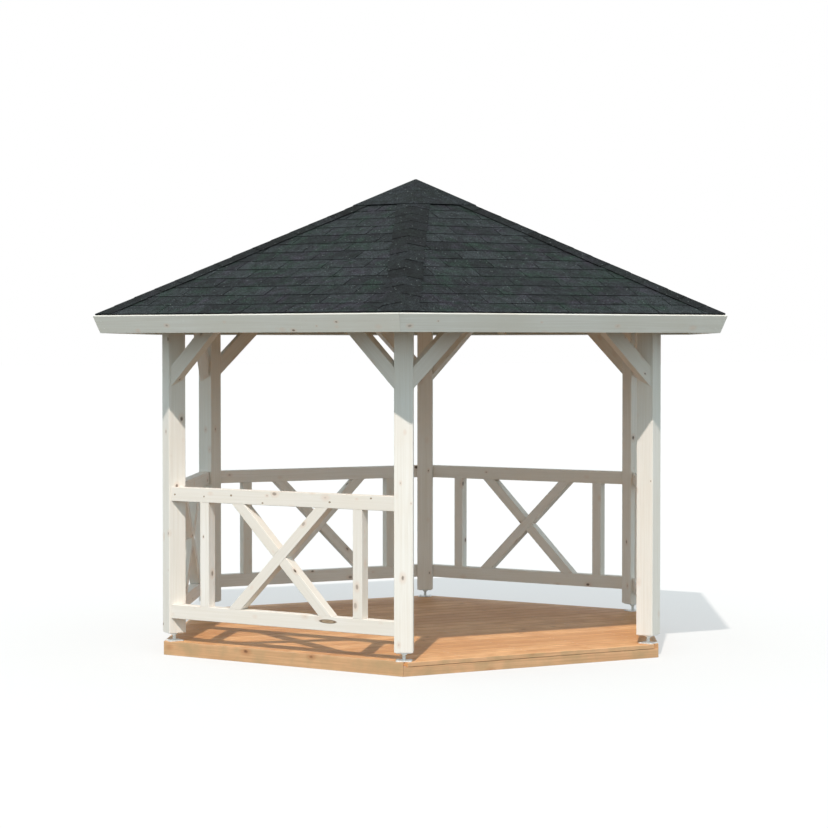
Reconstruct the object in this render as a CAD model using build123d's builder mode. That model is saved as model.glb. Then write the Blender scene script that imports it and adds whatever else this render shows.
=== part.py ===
from build123d import *
from math import cos, sin, tan, radians, sqrt
import os

# Hexagonal open gazebo, millimetres, +Z up, origin on the ground under the middle of the deck.
# The entrance bay faces -Y (south); posts and bays are named by compass point from there.

# --- driving dimensions ---
post_ring = 1800.0  # post centres to the middle, measured along a corner
post_size = 118.0  # square glued-laminated post
post_edge = 5.0  # rounded corner of a post
post_top = 2106.0  # top of a post above the deck

deck_margin = 75.0  # a deck corner stands this far outside the post centre
board_thickness = 28.0
board_count = 22
board_gap = 5.0
board_ease = 3.0  # chamfer along the top edges of a deck board
joist_height = 60.0
joist_width = 45.0
joist_spacing = 480.0
trim_thickness = 28.0
trim_shadow = 3.0  # open line between the lower trim and the boards over it

foot_plate = 100.0  # square base plate
foot_corner = 10.0  # chamfer at its corners
foot_base = 5.0
foot_seat = 96.0  # square head plate
foot_head = 6.0
foot_rod = 22.0  # threaded rod
foot_nut = 34.0  # across flats, under the head plate
foot_nut_height = 13.0
foot_height = 58.0  # deck to the underside of a post

timber = 70.0  # thickness of rails, infill and braces
timber_ease = 2.0  # chamfer along their edges
timber_inset = 3.0  # their inner faces lie this far inside the line of the post centres
rail_height = 92.0
rail_top = 1020.0  # top of the handrail above the deck
low_rail = 156.0  # underside of the lower rail above the deck
infill_width = 70.0
baluster_place = 598.0  # middle of a baluster from the middle of its bay
cross_rise = 14.0  # the crossing stands this much over mid-height
brace_width = 94.0
brace_start = 1650.0  # underside of a brace at the post centre, above the deck

beam_width = 90.0
beam_height = 120.0
beam_ease = 5.0

roof_pitch = 25.0
roof_overhang = 417.0  # from the bays' outer faces to the fascia's outer top edge
birdsmouth = 27.0  # notch of the rafters over the outer edge of the ring beam
fascia_height = 117.0
fascia_thickness = 20.0
fascia_lean = 22.0  # degrees from upright, foot inwards
roof_board = 19.0
board_setback = 2.0  # roof boards stop this far behind the fascia's back
rafter_width = 60.0
rafter_depth = 100.0
jack_place = 450.0  # jack rafters from the middle of a roof face
key_size = 190.0  # hexagonal key block across flats
key_drop = 240.0  # its underside below the roof boards

course = 140.0  # shingle exposure up the slope
shingle_thin = 4.0
shingle_butt = 7.0
shingle_margin = 15.0  # shingles stop this far behind the fascia's outer edge
hip_cap_width = 113.0  # each side of a hip
hip_cap_exposure = 150.0  # of each folded cap, along the hip
hip_cap_thin = 2.0  # at the head of a cap
hip_cap_butt = 4.0  # at its lower edge
apex_ring = 480.0  # middle to a corner of the apex cap
apex_cap_thick = 3.0
apex_overlap = 120.0  # the apex cap reaches this far down over the hip caps

fit = 0.3  # clearance where cut ends meet their seats

# --- derived ---
tan30 = tan(radians(30))
cos30 = cos(radians(30))
deck_top = joist_height + board_thickness
post_apothem = post_ring * cos30
bay_inner = post_apothem - timber_inset
bay_outer = bay_inner + timber
timber_middle = bay_inner + timber / 2
half_side = post_ring / 2
deck_ring = post_ring + deck_margin
deck_apothem = deck_ring * cos30
rise = tan(radians(roof_pitch))
slope_cos = cos(radians(roof_pitch))
slope_sin = sin(radians(roof_pitch))
beam_bottom = deck_top + post_top
beam_top = beam_bottom + beam_height
beam_inner = bay_outer - beam_width
under_boards = roof_board + fit
rafter_under = beam_top - birdsmouth  # underside of a rafter over the bays' outer faces
apex_z = rafter_under + (rafter_depth + under_boards) / slope_cos + bay_outer * rise
eave_apothem = bay_outer + roof_overhang
eave_z = apex_z - eave_apothem * rise
lean_sin = sin(radians(fascia_lean))
lean_cos = cos(radians(fascia_lean))

corners = {"east": 0, "northeast": 60, "northwest": 120, "west": 180, "southwest": 240, "southeast": 300}
bays = {"southeast": 330, "northeast": 30, "north": 90, "northwest": 150, "southwest": 210, "south": 270}
entrance = "south"

os.makedirs("parts", exist_ok=True)


def direction(angle):
    return (cos(radians(angle)), sin(radians(angle)), 0)


def section_plane(angle):
    # upright plane through the middle: x runs outwards, y runs up
    across = (sin(radians(angle)), -cos(radians(angle)), 0)
    return Plane(origin=(0, 0, 0), x_dir=direction(angle), z_dir=across)


def bay_plane(angle, apothem):
    # upright plane of a bay: x runs along it, y runs up, z points outwards
    out = direction(angle)
    return Plane(origin=(apothem * out[0], apothem * out[1], 0), x_dir=direction(angle + 90), z_dir=out)


def plan_plane(angle, distance, height):
    # level plane at a distance from the middle: x runs outwards
    out = direction(angle)
    return Plane(origin=(distance * out[0], distance * out[1], height), x_dir=out, z_dir=(0, 0, 1))


def mitre_plane(angle, side, offset):
    # upright plane through the corner beside a bay, facing the bay, moved into it by an offset
    facing = direction(angle - 60 * side)
    return Plane(origin=(offset * facing[0], offset * facing[1], 0), z_dir=facing)


def post_face_plane(angle, side):
    # the side face of a post that looks into a bay, facing the bay
    corner = direction(angle + 30 * side)
    facing = direction(angle - 60 * side)
    away = post_size / 2 + fit
    x = post_ring * corner[0] + away * facing[0]
    y = post_ring * corner[1] + away * facing[1]
    return Plane(origin=(x, y, 0), z_dir=facing)


def roof_point(apothem, lift):
    # a point of the middle section of a roof face, lifted square to the slope over the board tops
    return (apothem + lift * slope_sin, eave_z + (eave_apothem - apothem) * rise + lift * slope_cos)


def save(solid, name):
    solid.part.label = name
    export_step(solid.part, f"parts/{name}.step")


def ring_piece(angle, points, gap, ease=0.0):
    # a profile of the middle section run along one side of the hexagon, mitred at both corners
    with BuildPart() as piece:
        with BuildSketch(section_plane(angle)) as profile:
            with BuildLine():
                Polyline(*points, close=True)
            make_face()
            if ease > 0:
                chamfer(profile.vertices(), ease)
        extrude(amount=eave_apothem, both=True)
        for side in (1, -1):
            split(bisect_by=mitre_plane(angle, side, gap), keep=Keep.TOP)
    return piece


# --- posts and their feet ---
def post(angle):
    with BuildPart() as piece:
        with BuildSketch(plan_plane(angle, post_ring, deck_top + foot_height)):
            RectangleRounded(post_size, post_size, post_edge)
        extrude(amount=post_top - foot_height)
    return piece


for name, angle in corners.items():
    save(post(angle), f"post_{name}")

with BuildPart() as feet:
    head_under = deck_top + foot_height - foot_head
    for angle in corners.values():
        with BuildSketch(plan_plane(angle, post_ring, deck_top)) as plate:
            Rectangle(foot_plate, foot_plate)
            chamfer(plate.vertices(), foot_corner)
        extrude(amount=foot_base)
        with BuildSketch(plan_plane(angle, post_ring, deck_top + foot_base)):
            Circle(foot_rod / 2)
        extrude(amount=foot_height - foot_base - foot_head)
        with BuildSketch(plan_plane(angle, post_ring, head_under - foot_nut_height)):
            RegularPolygon(foot_nut / 2, 6, major_radius=False)
        extrude(amount=foot_nut_height)
        with BuildSketch(plan_plane(angle, post_ring, head_under)):
            Rectangle(foot_seat, foot_seat)
        extrude(amount=foot_head)
save(feet, "post_feet")


# --- railings: two rails, two balusters and a half-lapped cross ---
def end_cuts(angle):
    for side in (1, -1):
        split(bisect_by=post_face_plane(angle, side), keep=Keep.TOP)


def rail(angle, bottom):
    with BuildPart() as piece:
        with BuildSketch(section_plane(angle)) as section:
            with Locations((timber_middle, bottom + rail_height / 2)):
                Rectangle(timber, rail_height)
            chamfer(section.vertices(), timber_ease)
        extrude(amount=half_side, both=True)
        end_cuts(angle)
    return piece


def baluster(angle, side, low, high):
    with BuildPart() as piece:
        with BuildSketch(plan_plane(angle, timber_middle, low)) as section:
            with Locations((0, side * baluster_place)):
                Rectangle(timber, infill_width)
            chamfer(section.vertices(), timber_ease)
        extrude(amount=high - low)
    return piece


def slant_plane(angle, along, height, turn):
    # square to a timber that climbs at 45 degrees in a bay: x points outwards
    out = direction(angle)
    side = direction(angle + 90)
    origin = (timber_middle * out[0] + along * side[0], timber_middle * out[1] + along * side[1], height)
    return Plane(origin=origin, x_dir=out, z_dir=(turn * side[0], turn * side[1], 1))


def diagonal(angle, turn, low, high):
    # one arm of the cross, with the half of its thickness taken out where the other passes
    middle = (low + high) / 2 + cross_rise
    lap_start = 0 if turn > 0 else timber / 2 - fit / 2
    with BuildPart() as piece:
        with BuildSketch(slant_plane(angle, 0, middle, turn)) as section:
            Rectangle(timber, infill_width)
            chamfer(section.vertices(), timber_ease)
        extrude(amount=high - low, both=True)
        split(bisect_by=Plane.XY.offset(low), keep=Keep.TOP)
        split(bisect_by=Plane.XY.offset(high), keep=Keep.BOTTOM)
        with BuildSketch(bay_plane(angle, bay_inner + lap_start)):
            with Locations((0, middle)):
                Rectangle(infill_width + 2 * fit, 4 * infill_width, rotation=45 * turn)
        extrude(amount=timber / 2 + fit / 2, mode=Mode.SUBTRACT)
    return piece


def railing(angle):
    low = deck_top + low_rail + rail_height + fit
    high = deck_top + rail_top - rail_height - fit
    with BuildPart() as piece:
        add(rail(angle, deck_top + low_rail).part)
        add(rail(angle, deck_top + rail_top - rail_height).part)
        for side in (1, -1):
            add(baluster(angle, side, low, high).part)
            add(diagonal(angle, side, low, high).part)
    return piece


for name, angle in bays.items():
    if name != entrance:
        save(railing(angle), f"railing_{name}")


# --- knee braces and ring beams ---
def brace(angle, side):
    # at 45 degrees from the side of a post up to the underside of the ring beam
    start = deck_top + brace_start + brace_width / sqrt(2)
    with BuildPart() as piece:
        with BuildSketch(slant_plane(angle, side * half_side, start, -side)) as section:
            Rectangle(timber, brace_width)
            chamfer(section.vertices(), timber_ease)
        extrude(amount=2 * (beam_bottom - start), both=True)
        split(bisect_by=Plane.XY.offset(beam_bottom - fit), keep=Keep.BOTTOM)
        split(bisect_by=post_face_plane(angle, side), keep=Keep.TOP)
    return piece


for name, angle in corners.items():
    with BuildPart() as braces:
        add(brace(angle + 30, -1).part)
        add(brace(angle - 30, 1).part)
    save(braces, f"braces_{name}")

beam_profile = [
    (beam_inner, beam_bottom),
    (bay_outer, beam_bottom),
    (bay_outer, beam_top),
    (beam_inner, beam_top),
]
with BuildPart() as ring_beams:
    for angle in bays.values():
        add(ring_piece(angle, beam_profile, fit, beam_ease).part)
save(ring_beams, "ring_beams")


# --- roof frame ---
def fascia_back(angle):
    # the inner face of a fascia board, facing the middle, with clearance
    out = direction(angle)
    away = fascia_thickness + fit
    reach = eave_apothem - away * lean_cos
    origin = (reach * out[0], reach * out[1], eave_z + away * lean_sin)
    return Plane(origin=origin, z_dir=(-lean_cos * out[0], -lean_cos * out[1], lean_sin))


def board_underside(angle, lift):
    # the plane under the roof boards of one face, facing down
    out = direction(angle)
    radius, height = roof_point(eave_apothem, lift)
    normal = (-slope_sin * out[0], -slope_sin * out[1], -slope_cos)
    return Plane(origin=(radius * out[0], radius * out[1], height), z_dir=normal)


def hip_rafter(angle):
    # top backed to both roof faces, seat cut over the corner of the ring beam
    hip_rise = rise * cos30
    top = apex_z - under_boards / slope_cos
    depth = rafter_depth * sqrt(1 + hip_rise**2)
    inner = key_size / 2 + fit
    outer = eave_apothem / cos30
    heel = bay_outer / cos30 + fit
    seat = beam_top + fit
    with BuildPart() as piece:
        with BuildSketch(section_plane(angle)):
            with BuildLine():
                Polyline(
                    (inner, top - inner * hip_rise),
                    (outer, top - outer * hip_rise),
                    (outer, top - outer * hip_rise - depth),
                    (heel, top - heel * hip_rise - depth),
                    (heel, seat),
                    ((top - depth - seat) / hip_rise, seat),
                    (inner, top - inner * hip_rise - depth),
                    close=True,
                )
            make_face()
        extrude(amount=rafter_width / 2, both=True)
        for side in (30, -30):
            split(bisect_by=board_underside(angle + side, -under_boards), keep=Keep.TOP)
            split(bisect_by=fascia_back(angle + side), keep=Keep.TOP)
    return piece


with BuildPart() as hips:
    for angle in corners.values():
        add(hip_rafter(angle).part)
save(hips, "hip_rafters")


def jack_rafter(angle, side):
    # square to the eaves, its head cut to the side of the hip rafter
    top = apex_z - under_boards / slope_cos
    depth = rafter_depth / slope_cos
    heel = bay_outer + fit
    seat = beam_top + fit
    outer = eave_apothem
    inner = jack_place / 2
    with BuildPart() as piece:
        with BuildSketch(section_plane(angle)):
            with BuildLine():
                Polyline(
                    (inner, top - inner * rise),
                    (outer, top - outer * rise),
                    (outer, top - outer * rise - depth),
                    (heel, top - heel * rise - depth),
                    (heel, seat),
                    ((top - depth - seat) / rise, seat),
                    (inner, top - inner * rise - depth),
                    close=True,
                )
            make_face()
        extrude(amount=eave_apothem, both=True)
        along = direction(angle + 90)
        for edge, facing in ((jack_place - rafter_width / 2, 1), (jack_place + rafter_width / 2, -1)):
            place = side * edge
            origin = (place * along[0], place * along[1], 0)
            normal = (side * facing * along[0], side * facing * along[1], 0)
            split(bisect_by=Plane(origin=origin, z_dir=normal), keep=Keep.TOP)
        split(bisect_by=mitre_plane(angle, side, rafter_width / 2 + fit), keep=Keep.TOP)
        split(bisect_by=fascia_back(angle), keep=Keep.TOP)
    return piece


with BuildPart() as jacks:
    for angle in bays.values():
        for side in (1, -1):
            add(jack_rafter(angle, side).part)
save(jacks, "jack_rafters")

key_top = apex_z - under_boards / slope_cos
with BuildPart() as key_block:
    with BuildSketch(Plane.XY.offset(key_top - key_drop)):
        RegularPolygon(key_size / 2, 6, major_radius=False, rotation=30)
    extrude(amount=key_drop)
    for angle in bays.values():
        split(bisect_by=board_underside(angle, -under_boards), keep=Keep.TOP)
save(key_block, "key_block")

# --- roof boards, fascia and shingles, one piece a side ---
fascia_inner = eave_apothem - (fascia_thickness + fit) * lean_cos
fascia_foot = (eave_apothem - fascia_height * lean_sin, eave_z - fascia_height * lean_cos)
fascia_profile = [
    (eave_apothem, eave_z),
    fascia_foot,
    (fascia_foot[0] - fascia_thickness * lean_cos, fascia_foot[1] + fascia_thickness * lean_sin),
    (eave_apothem - fascia_thickness / cos(radians(roof_pitch - fascia_lean)) * slope_cos,
     eave_z + fascia_thickness / cos(radians(roof_pitch - fascia_lean)) * slope_sin),
]
board_edge = eave_apothem - fascia_thickness - board_setback
board_profile = [
    (0, apex_z),
    roof_point(board_edge, 0),
    roof_point(board_edge, -roof_board),
    (0, apex_z - roof_board / slope_cos),
]


def shingle_profile():
    # one saw-tooth a course, each course lying on the head of the one below it
    start = eave_apothem - shingle_margin
    points = [roof_point(start, fit)]
    count = int(start / slope_cos / course)
    for row in range(count + 1):
        low = start - row * course * slope_cos
        high = max(low - course * slope_cos, 0)
        points.append(roof_point(low, shingle_butt))
        if high > 0:
            points.append(roof_point(high, shingle_thin))
    points.append((0, apex_z + shingle_thin / slope_cos))
    points.append((0, apex_z + fit / slope_cos))
    return points


for name, angle in bays.items():
    save(ring_piece(angle, fascia_profile, fit), f"fascia_{name}")
    save(ring_piece(angle, board_profile, fit), f"roof_boards_{name}")
    save(ring_piece(angle, shingle_profile(), fit), f"shingles_{name}")


hip_slope = sqrt(1 + (rise * cos30) ** 2)  # length of a hip for each unit out from the middle


def hip_plane(angle, side):
    # stands on a hip, square to the roof face beside it: x runs down the hip, y off the face
    corner = direction(angle + 30 * side)
    out = direction(angle)
    down = Vector(corner[0], corner[1], -rise * cos30).normalized()
    normal = Vector(slope_sin * out[0], slope_sin * out[1], slope_cos)
    return Plane(origin=(0, 0, apex_z), x_dir=down, z_dir=down.cross(normal))


def hip_cap_profile(start, end):
    # one saw-tooth for each folded cap, lapped like the courses
    low = shingle_butt + fit
    points = [(end, low), (start, low)]
    count = int((start - end) / hip_cap_exposure)
    for row in range(count + 1):
        foot = start - row * hip_cap_exposure
        head = max(foot - hip_cap_exposure, end)
        points.append((foot, low + hip_cap_butt))
        points.append((head, low + hip_cap_thin))
    return points


def cap_strip(angle, side):
    # half of a hip's caps, on one roof face
    eave = eave_apothem - shingle_margin
    start = eave / cos30 * hip_slope
    end = (apex_ring - apex_overlap / cos30) * hip_slope
    out = direction(angle)
    with BuildPart() as piece:
        with BuildSketch(hip_plane(angle, side)):
            with BuildLine():
                Polyline(*hip_cap_profile(start, end), close=True)
            make_face()
        extrude(amount=2 * hip_cap_width, both=True)
        split(bisect_by=mitre_plane(angle, side, 0), keep=Keep.TOP)
        split(bisect_by=mitre_plane(angle, side, hip_cap_width), keep=Keep.BOTTOM)
        split(bisect_by=Plane(origin=(eave * out[0], eave * out[1], 0), z_dir=out), keep=Keep.BOTTOM)
    return piece


with BuildPart() as hip_caps:
    for angle in corners.values():
        add(cap_strip(angle + 30, -1).part)
        add(cap_strip(angle - 30, 1).part)
save(hip_caps, "hip_caps")

cap_low = shingle_butt + fit + hip_cap_butt + fit
with BuildPart() as apex_cap:
    for angle in bays.values():
        points = [
            (0, apex_z + cap_low / slope_cos),
            roof_point(apex_ring * cos30, cap_low),
            roof_point(apex_ring * cos30, cap_low + apex_cap_thick),
            (0, apex_z + (cap_low + apex_cap_thick) / slope_cos),
        ]
        add(ring_piece(angle, points, 0).part)
save(apex_cap, "apex_cap")


# --- deck ---
def half_width(y, ring):
    # half the width of a hexagon with corners on the X axis
    return ring - abs(y) * tan30


board_ring = deck_ring - (trim_thickness + fit) / cos30
pitch = (2 * deck_apothem + board_gap) / board_count
board_width = pitch - board_gap
with BuildPart() as deck_boards:
    for row in range(board_count):
        y0 = -deck_apothem + row * pitch
        y1 = y0 + board_width
        with BuildSketch(Plane.XY.offset(joist_height)):
            with BuildLine():
                Polyline(
                    (-half_width(y0, board_ring), y0),
                    (half_width(y0, board_ring), y0),
                    (half_width(y1, board_ring), y1),
                    (-half_width(y1, board_ring), y1),
                    close=True,
                )
            make_face()
        extrude(amount=board_thickness)
    chamfer(deck_boards.edges().filter_by(Axis.X).group_by(Axis.Z)[-1], board_ease)
save(deck_boards, "deck_boards")

joist_reach = int(board_ring / joist_spacing)
frame_apothem = deck_apothem - trim_thickness - fit
with BuildPart() as joists:
    for row in range(-joist_reach, joist_reach + 1):
        x = row * joist_spacing
        edge = abs(x) + joist_width / 2
        reach = min(frame_apothem, (board_ring - edge) / tan30)
        with BuildSketch(Plane.XY):
            with Locations((x, 0)):
                Rectangle(joist_width, 2 * reach)
        extrude(amount=joist_height)
save(joists, "deck_joists")

with BuildPart() as trims:
    for name, angle in bays.items():
        long_edge = name in ("north", "south")
        top = joist_height - trim_shadow if long_edge else deck_top
        profile = [
            (deck_apothem - trim_thickness, 0),
            (deck_apothem, 0),
            (deck_apothem, top),
            (deck_apothem - trim_thickness, top),
        ]
        add(ring_piece(angle, profile, fit).part)
save(trims, "deck_trims")
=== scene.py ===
import bpy
import math
import random
from mathutils import Matrix, Vector


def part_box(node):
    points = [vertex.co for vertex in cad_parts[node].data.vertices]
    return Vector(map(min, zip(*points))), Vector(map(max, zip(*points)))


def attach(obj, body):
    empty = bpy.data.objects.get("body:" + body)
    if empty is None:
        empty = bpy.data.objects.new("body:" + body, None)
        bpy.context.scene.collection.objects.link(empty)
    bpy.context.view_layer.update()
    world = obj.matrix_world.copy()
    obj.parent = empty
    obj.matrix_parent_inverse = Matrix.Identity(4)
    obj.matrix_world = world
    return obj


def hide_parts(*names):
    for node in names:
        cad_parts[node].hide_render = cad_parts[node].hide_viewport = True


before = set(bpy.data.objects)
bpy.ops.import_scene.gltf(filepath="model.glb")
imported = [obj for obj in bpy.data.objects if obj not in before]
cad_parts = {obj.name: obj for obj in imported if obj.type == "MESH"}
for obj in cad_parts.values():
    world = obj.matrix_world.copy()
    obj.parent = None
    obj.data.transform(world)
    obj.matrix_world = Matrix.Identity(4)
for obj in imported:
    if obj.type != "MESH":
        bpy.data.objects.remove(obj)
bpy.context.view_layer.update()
scene = bpy.context.scene
rng = random.Random(7)

# the hexagon: corners and bays by compass point, angles from +X; the open entrance bay is the south one
cornerAngles = {"east": 0, "northeast": 60, "northwest": 120, "west": 180, "southwest": 240, "southeast": 300}
bayAngles = {"southeast": 330, "northeast": 30, "north": 90, "northwest": 150, "southwest": 210, "south": 270}
cos30 = math.cos(math.radians(30))
tan30 = math.tan(math.radians(30))


# what is done to many pieces: picking, adding, copying, cutting and finishing
near = 0.001  # how close to a line an edge or vertex has to lie to be picked by it


def makeActive(piece):
    bpy.ops.object.select_all(action="DESELECT")
    piece.select_set(True)
    bpy.context.view_layer.objects.active = piece


def startEdit(piece, kind="FACE", chosen=True):
    makeActive(piece)
    bpy.ops.object.mode_set(mode="EDIT")
    bpy.ops.mesh.select_mode(type=kind)
    bpy.ops.mesh.select_all(action="SELECT" if chosen else "DESELECT")


def endEdit():
    bpy.ops.object.mode_set(mode="OBJECT")


def pick(piece, kind, rule):
    # rule reads a vertex's place, an edge's middle and direction, or a face's middle and normal
    startEdit(piece, kind, chosen=False)
    endEdit()
    mesh = piece.data
    if kind == "VERT":
        for vertex in mesh.vertices:
            vertex.select = rule(vertex.co)
    elif kind == "EDGE":
        for edge in mesh.edges:
            start, end = (mesh.vertices[i].co for i in edge.vertices)
            edge.select = rule((start + end) / 2, (end - start).normalized())
    else:
        for face in mesh.polygons:
            face.select = rule(face.center, face.normal)
    bpy.ops.object.mode_set(mode="EDIT")


def addBlock(name, low, high):
    # a block between two corners, to be shaped further
    low, high = Vector(low), Vector(high)
    bpy.ops.object.select_all(action="DESELECT")
    bpy.ops.mesh.primitive_cube_add(size=1, location=(low + high) / 2)
    piece = bpy.context.object
    piece.name = name
    piece.scale = high - low
    bpy.ops.object.transform_apply(location=True, rotation=True, scale=True)
    return piece


def addRod(name, sides, radius, low, high, middle=(0, 0), ends="NGON"):
    # an upright rod between two heights, to be shaped further
    bpy.ops.object.select_all(action="DESELECT")
    bpy.ops.mesh.primitive_cylinder_add(vertices=sides, radius=radius, depth=high - low, end_fill_type=ends,
                                        location=(*middle, (low + high) / 2))
    piece = bpy.context.object
    piece.name = name
    bpy.ops.object.transform_apply(location=True)
    return piece


def copyPiece(piece, name):
    # each copy has its own mesh
    twin = bpy.data.objects.new(name, piece.data.copy())
    scene.collection.objects.link(twin)
    return twin


def placePiece(piece, matrix):
    makeActive(piece)
    piece.matrix_world = matrix
    bpy.ops.object.transform_apply(location=True, rotation=True, scale=True)


def joinPieces(parts, name):
    makeActive(parts[0])
    for part in parts:
        part.select_set(True)
    bpy.ops.object.join()
    parts[0].name = name
    return parts[0]


def placeCopies(model, name, places):
    # a copy of the model at each place, joined to one piece
    copies = []
    for place in places:
        twin = copyPiece(model, name)
        placePiece(twin, place)
        copies.append(twin)
    return joinPieces(copies, name)


def cutAway(piece, point, normal):
    # what lies on the normal's side goes, and the cut is closed
    startEdit(piece)
    bpy.ops.mesh.bisect(plane_co=point, plane_no=normal, use_fill=True, clear_outer=True)
    endEdit()


def applyModifier(piece, kind, **settings):
    makeActive(piece)
    modifier = piece.modifiers.new(kind, kind)
    for key, value in settings.items():
        setattr(modifier, key, value)
    bpy.ops.object.modifier_apply(modifier=modifier.name)


def smoothPiece(piece):
    makeActive(piece)
    bpy.ops.object.shade_smooth_by_angle(angle=math.radians(35))


def mergedCopy(nodeName, pieceName):
    # a CAD node's mesh is loose triangles, so its copy is merged and its flat faces made whole
    piece = copyPiece(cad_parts[nodeName], pieceName)
    startEdit(piece)
    bpy.ops.mesh.remove_doubles(threshold=0.00002)
    bpy.ops.mesh.dissolve_limited(angle_limit=math.radians(0.5))
    endEdit()
    return piece


def loosePieces(piece):
    startEdit(piece)
    bpy.ops.mesh.separate(type="LOOSE")
    endEdit()
    return sorted(bpy.context.selected_objects, key=lambda part: part.name)


def pieceBox(piece):
    corners = [vertex.co for vertex in piece.data.vertices]
    low = Vector([min(co[i] for co in corners) for i in range(3)])
    high = Vector([max(co[i] for co in corners) for i in range(3)])
    return low, high


def layGrain(timber):
    # each timber carries its own grain place, in metres: along it, across it and through it
    mesh = timber.data
    ends = [(mesh.vertices[e.vertices[0]].co, mesh.vertices[e.vertices[1]].co) for e in mesh.edges]
    longest = max(ends, key=lambda pair: (pair[1] - pair[0]).length)
    along = (longest[1] - longest[0]).normalized()
    sides = [face for face in mesh.polygons if abs(face.normal.dot(along)) < 0.05]
    through = max(sides, key=lambda face: face.area).normal.copy()
    across = through.cross(along)
    start = Vector([rng.uniform(0, 30) for _ in range(3)])  # no two timbers show the same marks
    grain = mesh.attributes.new("grain", "FLOAT_VECTOR", "POINT")
    for vertex in mesh.vertices:
        place = Vector((vertex.co.dot(along), vertex.co.dot(across), vertex.co.dot(through)))
        grain.data[vertex.index].vector = place + start
    setTone(timber, rng.random())


def setTone(piece, value):
    # one value for the whole piece, between the pale and the deep colour of its material
    tone = piece.data.attributes.new("tone", "FLOAT", "POINT")
    for item in tone.data:
        item.value = value


def levelDirections(angle):
    # outwards at an angle from +X, and to the left of that
    turn = math.radians(angle)
    return Vector((math.cos(turn), math.sin(turn), 0)), Vector((-math.sin(turn), math.cos(turn), 0))


def facing(across, up, outwards):
    # the turn that lays a piece's X, Y and Z along three directions
    return Matrix((across, up, outwards)).transposed().to_4x4()


def finishPiece(piece, material, slotName, *nodeNames):
    # the named CAD nodes are the ones that this piece is seen in place of
    piece.data.materials.clear()
    piece.data.materials.append(material)
    if nodeNames:
        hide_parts(*nodeNames)
    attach(piece, "root")
    return piece


# materials
def linear(hexColour):
    # an sRGB hex value as the linear colour that a socket takes
    parts = [int(hexColour[i:i + 2], 16) / 255 for i in (1, 3, 5)]
    return tuple(c / 12.92 if c <= 0.04045 else ((c + 0.055) / 1.055) ** 2.4 for c in parts) + (1,)


def addNode(tree, kind, inputs=None, stops=(), **settings):
    # one node with its settings, its ramp's stops, and a number, colour or other node's output for a socket
    node = tree.nodes.new("ShaderNode" + kind)
    for key, value in settings.items():
        setattr(node, key, value)
    for socket, value in (inputs or {}).items():
        if isinstance(value, bpy.types.NodeSocket):
            tree.links.new(value, node.inputs[socket])
        else:
            node.inputs[socket].default_value = value
    for index, (place, colour) in enumerate(stops):
        elements = node.color_ramp.elements
        element = elements[index] if index < 2 else elements.new(place)
        element.position = place
        element.color = colour
    return node


def newTree(name):
    material = bpy.data.materials.new(name)
    material.use_nodes = True
    material.node_tree.nodes.clear()
    return material, material.node_tree


# knots in softwood: how far their outline wanders and over what length, how much longer than wide they are,
# their range of sizes and of darkness, where the dark core ends, and how far and how strongly the ring
# around them shows
knotShape = dict(wander=0.005, wanderLength=0.014, oval=0.62, smallest=0.3, largest=1.3, faintest=0.35,
                 core=0.6, haloReach=2.4, haloShow=0.45)


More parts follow.
